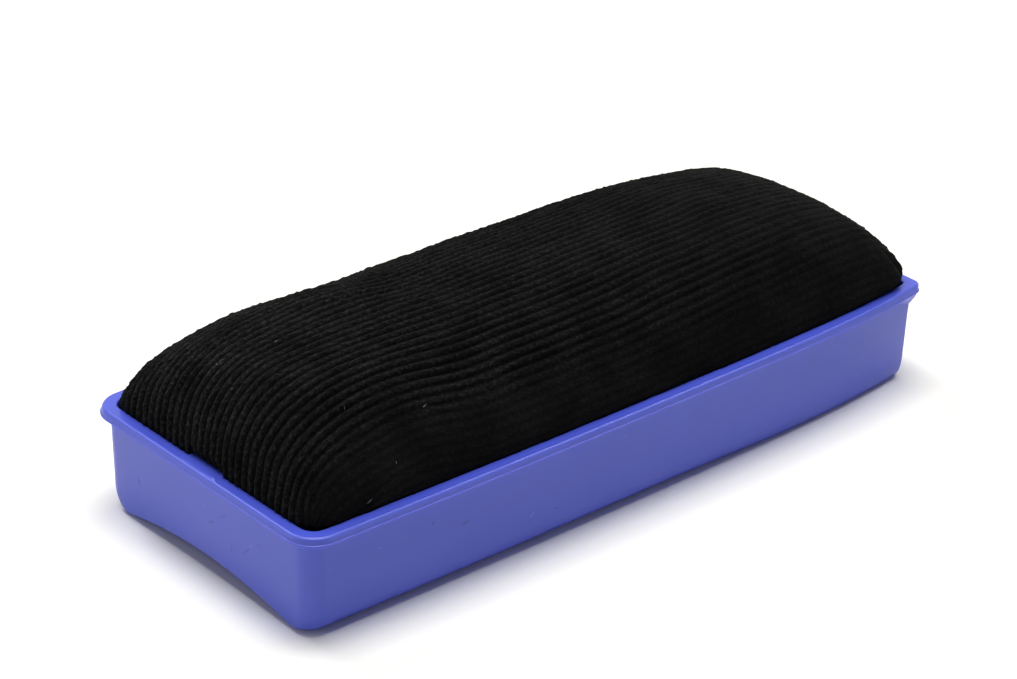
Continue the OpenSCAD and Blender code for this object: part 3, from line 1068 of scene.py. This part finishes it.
def makeCover():
    # one closed skin: the corded dome, the turn-in, the hidden skirt and hem, and the lining
    rows = layRows()
    points = np.concatenate([r["points"] for r in rows])
    across = np.concatenate([r["across"] for r in rows])
    along = np.concatenate([np.full(len(r["across"]), r["along"]) for r in rows])
    faces = joinRows(rows)

    # the turn-in over the mouth
    loop = boundaryLoop(rows)
    size = len(loop)
    plan = points[loop, :2]
    normals = loopNormals(plan)
    previous = loop
    for inward, height in turnIn:
        ring = np.column_stack([plan - normals * inward, np.full(size, rimTop + height)])
        travel = math.hypot(inward, pad["lip"] - height)
        start = len(points)
        points = np.vstack([points, ring])
        across = np.concatenate([across, across[loop] + travel * normals[:, 1]])
        along = np.concatenate([along, along[loop] + travel * normals[:, 0]])
        here = list(range(start, start + size))
        for k in range(size):
            following = (k + 1) % size
            faces.append((previous[k], here[k], here[following], previous[following]))
        previous = here
    visible = len(points)

    # the hidden skirt, hem and lining are coarser
    keep = np.unique(np.linspace(0, size, pad["skirtPoints"] + 1)[:-1].astype(int))
    coarse = plan[keep]
    coarseNormals = normals[keep]
    few = len(keep)
    rings = []
    for inward, height in skirtPath(turnIn[-1][0]):
        rings.append(np.column_stack([coarse - coarseNormals * inward, np.full(few, rimTop + height)]))
    u0, v0 = coarseShares(coarse)
    for share in pad["liningShares"]:
        rings.append(liningPoints(u0 * share, v0 * share, pad["cloth"]))
    first = len(points)
    points = np.vstack([points] + rings)
    along = np.concatenate([along, np.tile(along[loop][keep], len(rings))])
    across = np.concatenate([across, np.tile(across[loop][keep], len(rings))])
    ends = keep.tolist() + [size]
    around = previous + previous[:1]
    for k in range(few):
        fine = around[ends[k] : ends[k + 1] + 1]
        wide = (first + k, first + (k + 1) % few)
        faces += zipEdges(wide, fine, (0, 1), np.linspace(0, 1, len(fine)))
    faces += [tuple(first + i for i in f) for f in ringFaces(len(rings), few)]
    last = first + (len(rings) - 1) * few
    points = np.vstack([points, liningPoints(np.zeros(1), np.zeros(1), pad["cloth"])])
    along, across = np.append(along, 0), np.append(across, 0)
    middle = len(points) - 1
    faces += [(middle, last + k, last + (k + 1) % few) for k in range(few)]

    points = fitFoot(points)
    piece = meshPiece("corduroyCover", points, faces, corduroyMaterial())
    outwardFaces(piece)
    mesh = piece.data
    normal = np.zeros(len(points) * 3, np.float32)
    mesh.vertex_normals.foreach_get("vector", normal)
    worn = np.clip(zoneSum(rubbedZones, across, points[:, 0]), 0, 1)
    points = carveCords(rows, points, normal.reshape(-1, 3), across, worn, visible)
    mesh.vertices.foreach_set("co", (points * mm).astype(np.float32).ravel())
    nameCloth(mesh, along, across, worn, 1 + zoneSum(paintedLightZones, across, points[:, 0]))
    mesh.update()
    print("cover has", sum(len(p.vertices) - 2 for p in mesh.polygons), "triangles")
    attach(piece, "root")
    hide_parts("cloth_cover")


def hemHeight():
    # the underside of the pad clears the arched floor of the tray
    return tray["floor"] + tray["backArch"] * (1 - tray["floor"] / wallTop) + pad["gap"]


def coarseShares(plan):
    # shares of the half length and half width, on the square's edge, for places round the foot
    u = np.clip(plan[:, 0] / np.where(plan[:, 0] < 0, -plan[:, 0].min(), plan[:, 0].max()), -1, 1)
    v = plan[:, 1] / (padHalfWidth + tray["sideBow"] * (1 - u * u))
    most = np.maximum(np.abs(u), np.abs(v))
    return u / most, v / most


def liningPoints(u, v, depth):
    # the smooth pad's surface, drawn in by a depth
    step = 1e-3
    here = domePoints(u, v)
    du = domePoints(u + step, v) - domePoints(u - step, v)
    dv = domePoints(u, v + step) - domePoints(u, v - step)
    normal = np.cross(du, dv)
    normal /= np.maximum(np.linalg.norm(normal, axis=1, keepdims=True), 1e-9)
    return here - normal * depth


# fibres of lint caught on the cloth: place along and across the cords, turn, half sizes
lintFibres = [
    ((-63.9, 21.2, 0), (0, 0, 30), (0.4, 0.085, 1)),
    ((-63.9, 5.1, 0), (0, 0, 60), (0.36, 0.085, 1)),
    ((-56.9, 0.9, 0), (0, 0, 15), (0.56, 0.085, 1)),
    ((-66.7, 4.7, 0), (0, 0, 80), (0.32, 0.085, 1)),
    ((-58.3, -21.3, 0), (0, 0, 70), (0.28, 0.093, 1)),
    ((-44.6, -26.8, 0), (0, 0, 25), (0.56, 0.1, 1)),
    ((-54.0, -33.9, 0), (0, 0, 90), (0.32, 0.085, 1)),
    ((-60.6, -37.2, 0), (0, 0, 12), (0.72, 0.1, 1)),
    ((22.0, 14.0, 0), (0, 0, 40), (0.48, 0.085, 1)),
    ((41.0, 27.0, 0), (0, 0, 100), (0.4, 0.085, 1)),
]


def corduroyMaterial():
    # cotton corduroy with a cut pile: black and light-drinking, with painted shade in the grooves
    # between the cords and a painted highlight on their tops, brighter where tufts turn their ends to
    # the light
    material, tree = newMaterial("cotton corduroy")
    cloth = addNode(tree, "UVMap", {"uv_map": "cloth"}).outputs[0]
    acrossCords = addNode(tree, "SeparateXYZ", {0: cloth}).outputs["Y"]
    rubbed = addNode(tree, "Attribute", {"attribute_name": "rubbed"}).outputs["Fac"]
    # painted light and shade: the cloth lighter at the left end, darker at the right, by the near rim
    # and on the far side
    paintedLightTone = addNode(tree, "Attribute", {"attribute_name": "paintedLightTone"}).outputs["Fac"]
    # how far a place is from the top of its cord, 0 to 0.5
    phase = compute(tree, "FRACT", compute(tree, "MULTIPLY", acrossCords, 1000 / pad["wale"]))
    away = compute(tree, "ABSOLUTE", compute(tree, "SUBTRACT", phase, 0.5))
    # painted shade in the grooves, weaker where the nap is rubbed flat, and a painted highlight on the
    # cord tops
    grooveShade = remap(tree, rubbed, (0.0, 1.0), (0.25, 0.95))
    cordHighlightAndGrooveShade = remap(tree, away, (0.1, 0.46), (1.25, grooveShade), "SMOOTHSTEP")
    # single fibres are too fine to show, so they are drawn as tufts that slant across each cord, about
    # 0.8 mm long and 0.6 mm wide
    inputs = {"Vector": cloth, "Rotation": (0, 0, math.radians(28)), "Scale": (1150, 1700, 1)}
    tufts = noise(tree, addNode(tree, "Mapping", inputs).outputs[0], 1, 2, 0.7)
    tint = colourRamp(tree, tufts, [(0.3, "#070707"), (0.5, "#101010"), (0.7, "#202020")])
    # where the nap is rubbed flat its tufts no longer show singly
    tufted = mixColours(tree, compute(tree, "MULTIPLY", rubbed, 0.6), tint, "#121212")
    # clouds 4 to 15 mm across, where the nap has been brushed one way or the other
    brushed = remap(tree, noise(tree, cloth, 95, 3, 0.6), (0.33, 0.67), (0.6, 1.4))
    # the tone: painted highlight on the cord tops and painted shade in the grooves, times the painted
    # light and shade and the brushed clouds
    tone = compute(tree, "MULTIPLY", cordHighlightAndGrooveShade, compute(tree, "MULTIPLY", paintedLightTone, brushed))
    pileWithPaintedLight = addNode(tree, "VectorMath", {"operation": "SCALE", 0: tufted, "Scale": tone}).outputs[0]
    # specks of lint, about 0.2 mm, a few for each hand's breadth, and some longer fibres
    lint = addNode(tree, "TexVoronoi", {"Vector": cloth, "Scale": 260.0})
    chosen = addNode(tree, "SeparateColor", {0: lint.outputs["Color"]}).outputs[0]
    few = compute(tree, "GREATER_THAN", chosen, 0.985)
    speck = compute(tree, "LESS_THAN", lint.outputs["Distance"], 0.03)
    specks = compute(tree, "MULTIPLY", few, speck)
    either = compute(tree, "MAXIMUM", specks, streaks(tree, cloth, lintFibres))
    inputs = {
        "Base Color": mixColours(tree, either, pileWithPaintedLight, "#6C6E76"),
        "Roughness": 0.9,
        "Specular IOR Level": 0.03,
        "Sheen Weight": 0.005,
        "Sheen Roughness": 0.5,
        "Sheen Tint": linearColour("#D8DAE4"),
        "Normal": relief(tree, tufts, 0.8, 0.3),
    }
    finishMaterial(tree, inputs)
    return material


makeCover()
print("cover sewn")


def foamMaterial():
    # open-cell polyurethane foam: pale, matt and pitted, with cells of about 1 mm
    material, tree = newMaterial("open-cell polyurethane foam")
    place = addNode(tree, "TexCoord").outputs["Object"]
    cells = addNode(tree, "TexVoronoi", {"Vector": place, "Scale": 900.0}).outputs["Distance"]
    tint = colourRamp(tree, cells, [(0.0, "#B9B19C"), (0.5, "#DDD7C4"), (1.0, "#EBE6D6")])
    inputs = {"Base Color": tint, "Roughness": 0.9, "Specular IOR Level": 0.25}
    finishMaterial(tree, {**inputs, "Normal": relief(tree, cells, 0.7, 0.4)})
    return material


def boardMaterial():
    # pressed fibreboard: dull brown, with short fibres of 1 to 4 mm lying flat
    material, tree = newMaterial("pressed fibreboard")
    place = addNode(tree, "TexCoord").outputs["Object"]
    stretched = addNode(tree, "Mapping", {"Vector": place, "Scale": (260, 900, 260)})
    matted = noise(tree, stretched.outputs[0], 1, 6, 0.7)
    tint = colourRamp(tree, matted, [(0.3, "#6E5C43"), (0.5, "#8F7A5B"), (0.7, "#A8946F")])
    inputs = {"Base Color": tint, "Roughness": 0.8, "Normal": relief(tree, matted, 0.3, 0.1)}
    finishMaterial(tree, inputs)
    return material


# hidden block of foam inside the cover
foam = {
    "clear": 0.2,  # between it and the cloth
    "sideClear": 1.9,  # more at the sides, where it is cut straight
    "topClear": 0.5,  # more on top, where the cloth settles
    "cutsAlong": 60,
    "cutsAcross": 30,
    # shares of the way out from the middle, over its crown
    "crownShares": (0.985, 0.97, 0.95, 0.92, 0.88, 0.83, 0.77, 0.7, 0.62, 0.53, 0.43, 0.32, 0.2, 0.08),
}


def makeFoam():
    # a cut block that fills the cover, rising with its crown
    cut = pad["cloth"] + foam["clear"]
    onBoard = hemHeight() + pad["cloth"] + pad["boardThickness"]
    long, short = foam["cutsAlong"], foam["cutsAcross"]
    edge = np.linspace(-1, 1, long + 1)[:-1]
    side = np.linspace(-1, 1, short + 1)[:-1]
    u = np.concatenate([edge, np.ones(short), -edge, -np.ones(short)])
    v = np.concatenate([-np.ones(long), side, np.ones(long), -side])
    foot = domePoints(u, v)[:, :2]
    plan = foot - loopNormals(foot) * (cut + foam["sideClear"])
    plan[:, 1] *= 1 - rightNarrowing(plan[:, 0])
    rings = []
    for z in (onBoard, onBoard + 3, rimTop - 3, rimTop - 0.5):
        rings.append(np.column_stack([plan, np.full(len(plan), z)]))
    crownCut = cut + foam["topClear"]
    for share in foam["crownShares"]:
        rings.append(liningPoints(u * share, v * share, crownCut))
    crown = liningPoints(np.zeros(1), np.zeros(1), crownCut)
    points, faces = closedSkin(rings, rings[0].mean(0), crown)
    piece = meshPiece("foamBlock", points, faces, foamMaterial())
    outwardFaces(piece)
    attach(piece, "root")
    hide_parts("foam_core")


makeFoam()
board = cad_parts["backing_board"].data
board.materials.clear()
board.materials.append(boardMaterial())
print("foam and board finished")
